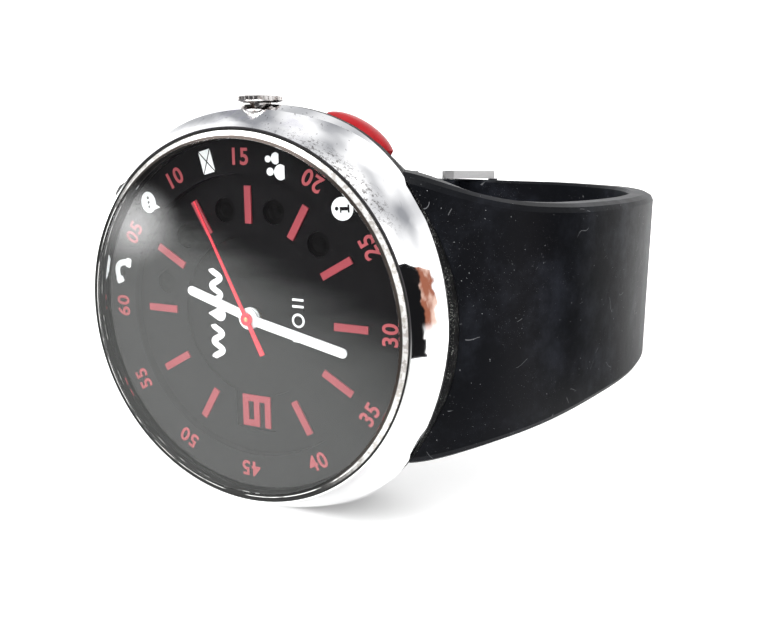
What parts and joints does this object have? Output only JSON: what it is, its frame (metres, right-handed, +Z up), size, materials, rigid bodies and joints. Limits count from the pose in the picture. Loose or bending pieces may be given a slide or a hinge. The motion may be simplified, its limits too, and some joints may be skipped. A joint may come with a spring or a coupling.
{
  "type": "sports watch with notification lights",
  "caption": "Round sports wristwatch lying on its side, strap closed in a loop: polished bezel, black stepped dial with red bars, dark light domes, crown and two red push buttons.",
  "frame": {"origin": "bottom centre of the whole watch's box, on the surface it lies on", "axes": "+Z up, with 3 o'clock and the crown at the top; +X towards 6 o'clock; the crystal faces -Y, leaning back by 7.5 degrees, and the buckle is at +Y"},
  "size_m": [0.0722, 0.0862, 0.0479],
  "materials": {
    "polished_steel": "mirror polish with fine scratches",
    "mineral_glass": "clear, faint haze and smudges",
    "black_rubber": "matt",
    "black_case": "fine matt with dust along the edge",
    "satin_steel": "satin",
    "dial_black": "fine matt",
    "red_print": "matt red",
    "smoked_lens": "smoked, half gloss",
    "circuit_green": "solder-masked board",
    "white_paint": "matt white",
    "red_paint": "satin red",
    "brass": "turned",
    "movement_metal": "plated, satin",
    "inner_plastic": "moulded",
    "battery_can": "satin",
    "spring_steel": "drawn wire",
    "silicone": "satin black with pale dust",
    "buckle_steel": "satin",
    "red_lacquer": "high gloss"
  },
  "bodies": {
    "case": {"bezel": "polished_steel", "crystal": "mineral_glass", "crystal_gasket": "black_rubber", "mid_case": "black_case", "case_back": "satin_steel", "case_back_gasket": "black_rubber", "case_back_screws": "satin_steel", "chapter_ring": "dial_black", "dial": "dial_black", "index_bars": "red_print", "nine_numeral": "red_print", "led_lenses": "smoked_lens", "led_board": "circuit_green", "movement": "movement_metal", "movement_ring": "inner_plastic", "circuit_board": "circuit_green", "vibration_motor": "satin_steel", "battery": "battery_can", "battery_clip": "spring_steel", "crown_tube": "satin_steel", "strap_6": "silicone", "strap_12": "silicone", "spring_bar_6": "spring_steel", "spring_bar_12": "spring_steel", "buckle_pin": "spring_steel", "keeper_fixed": "silicone", "pusher_spring_2": "spring_steel", "pusher_spring_4": "spring_steel"},
    "hour_arm": {"hour_hand": "white_paint", "hour_tube": "brass"},
    "minute_arm": {"minute_hand": "white_paint", "cannon_pinion": "brass"},
    "second_arm": {"second_hand": "red_paint", "seconds_arbor": "brass"},
    "crown_slide": {"crown_bush": "inner_plastic"},
    "crown": {"crown": "polished_steel", "crown_stem": "spring_steel", "crown_gasket": "black_rubber"},
    "buckle_frame": {"buckle_frame": "buckle_steel"},
    "buckle_tongue": {"buckle_tongue": "buckle_steel"},
    "keeper_free": {"keeper_free": "silicone"},
    "pusher_2": {"pusher_cap_2": "red_lacquer", "pusher_stem_2": "spring_steel", "pusher_clip_2": "spring_steel"},
    "pusher_4": {"pusher_cap_4": "red_lacquer", "pusher_stem_4": "spring_steel", "pusher_clip_4": "spring_steel"}
  },
  "joints": [
    {"name": "minute_turn", "type": "hinge", "parent": "case", "child": "minute_arm", "pos_m": [-0.00045, -0.03725, 0.02379], "axis": [0, 0.9915, -0.1302], "continuous": true},
    {"name": "hour_turn", "type": "hinge", "parent": "case", "child": "hour_arm", "pos_m": [-0.00045, -0.03685, 0.02374], "axis": [0, 0.9915, -0.1302], "continuous": true},
    {"name": "second_turn", "type": "hinge", "parent": "case", "child": "second_arm", "pos_m": [-0.00045, -0.03774, 0.02386], "axis": [0, 0.9915, -0.1302], "continuous": true},
    {"name": "crown_pull", "type": "slide", "parent": "case", "child": "crown_slide", "axis": [0, 0.1302, 0.9915], "range_m": [0, 0.0008]},
    {"name": "crown_turn", "type": "hinge", "parent": "crown_slide", "child": "crown", "pos_m": [-0.00045, -0.03115, 0.0472], "axis": [0, 0.1302, 0.9915], "continuous": true},
    {"name": "pusher_2_press", "type": "slide", "parent": "case", "child": "pusher_2", "axis": [0.4818, -0.1141, -0.8689], "range_m": [0, 0.0006], "stiffness_N_per_m": 900, "springref_m": -0.0008, "deforming": ["pusher_spring_2"]},
    {"name": "pusher_4_press", "type": "slide", "parent": "case", "child": "pusher_4", "axis": [-0.4818, -0.1141, -0.8689], "range_m": [0, 0.0006], "stiffness_N_per_m": 900, "springref_m": -0.0008, "deforming": ["pusher_spring_4"]},
    {"name": "buckle_swing", "type": "hinge", "parent": "case", "child": "buckle_frame", "pos_m": [-0.00585, 0.03657, 0.0141], "axis": [0, 0.1302, 0.9915], "range_deg": [0, 3]},
    {"name": "tongue_swing", "type": "hinge", "parent": "buckle_frame", "child": "buckle_tongue", "pos_m": [-0.00585, 0.03657, 0.0141], "axis": [0, 0.1302, 0.9915], "range_deg": [0, 4]},
    {"name": "keeper_slide", "type": "slide", "parent": "case", "child": "keeper_free", "axis": [-0.8281, -0.5558, 0.073], "range_m": [-0.0012, 0.0012]}
  ],
  "couplings": [
    {"joint": "hour_turn", "follows": "minute_turn", "ratio": 0.083333}
  ]
}
